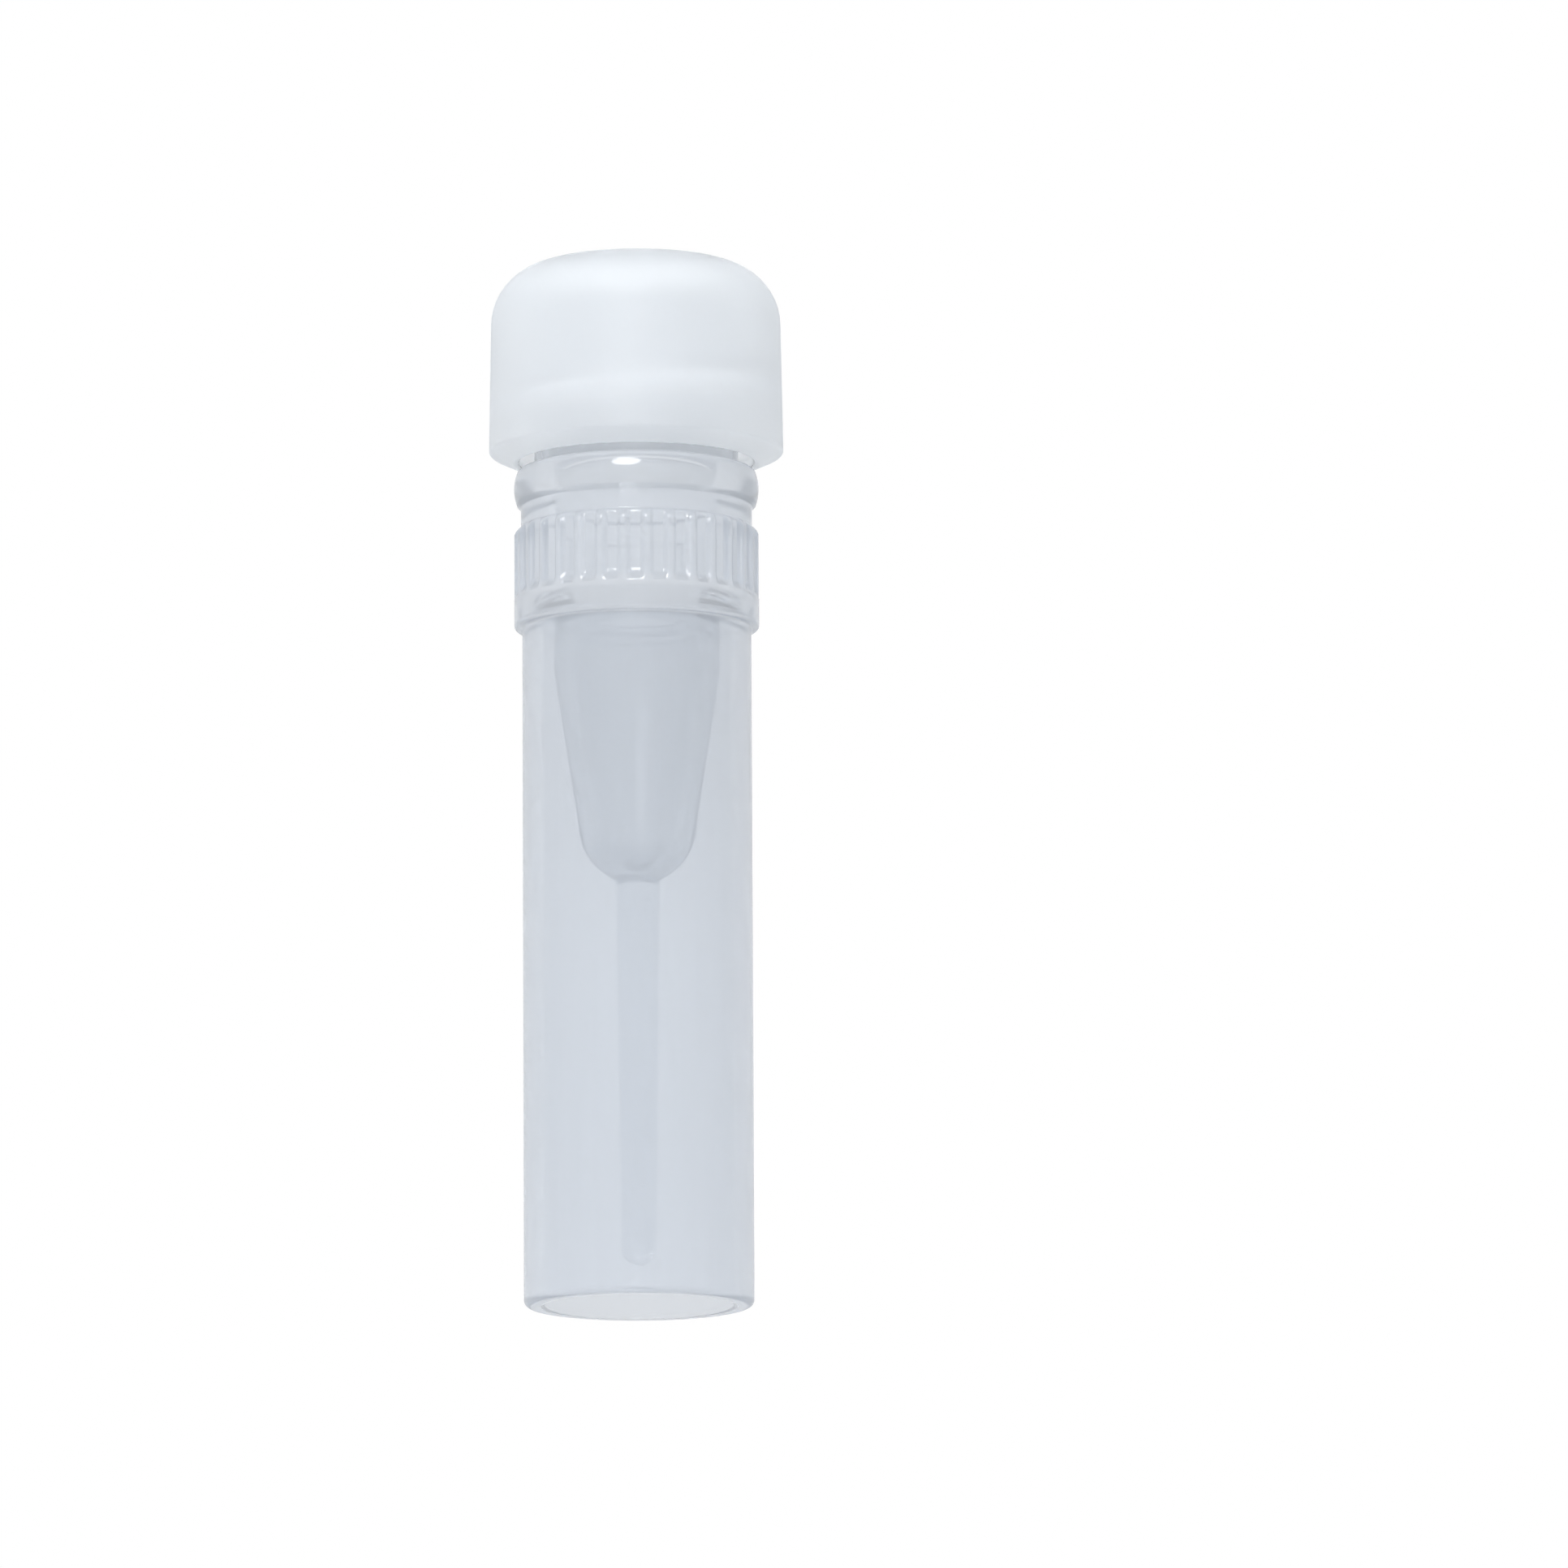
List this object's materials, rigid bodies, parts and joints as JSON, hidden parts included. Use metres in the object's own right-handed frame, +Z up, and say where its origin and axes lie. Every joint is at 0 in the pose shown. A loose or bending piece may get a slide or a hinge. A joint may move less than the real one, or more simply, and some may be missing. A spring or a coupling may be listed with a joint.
{
  "type": "cryovial",
  "caption": "Free-standing screw-cap vial: a round-bottomed well hangs inside a long skirt, below a ribbed grip collar and a threaded neck closed by a smooth cap.",
  "frame": {"origin": "centre of the foot ring, on the vial's axis", "axes": "+Z up along the vial's axis, towards the cap"},
  "size_m": [0.013, 0.013, 0.0464],
  "materials": {
    "vial_body": "translucent natural polypropylene",
    "screw_cap": "milky translucent polypropylene",
    "seal_ring": "translucent silicone"
  },
  "bodies": {
    "vial": {"vial_body": "vial_body"},
    "seal": {"seal_ring": "seal_ring"},
    "cap": {"screw_cap": "screw_cap"}
  },
  "joints": [
    {"name": "cap_lift", "type": "slide", "parent": "vial", "child": "seal", "axis": [0, 0, 1], "range_m": [0, 0.01]},
    {"name": "cap_turn", "type": "hinge", "parent": "seal", "child": "cap", "pos_m": [0, 0, 0.04], "axis": [0, 0, 1], "range_deg": [0, 1440]}
  ],
  "couplings": [
    {"joint": "cap_turn", "follows": "cap_lift", "rad_per_m": 2513.3}
  ]
}
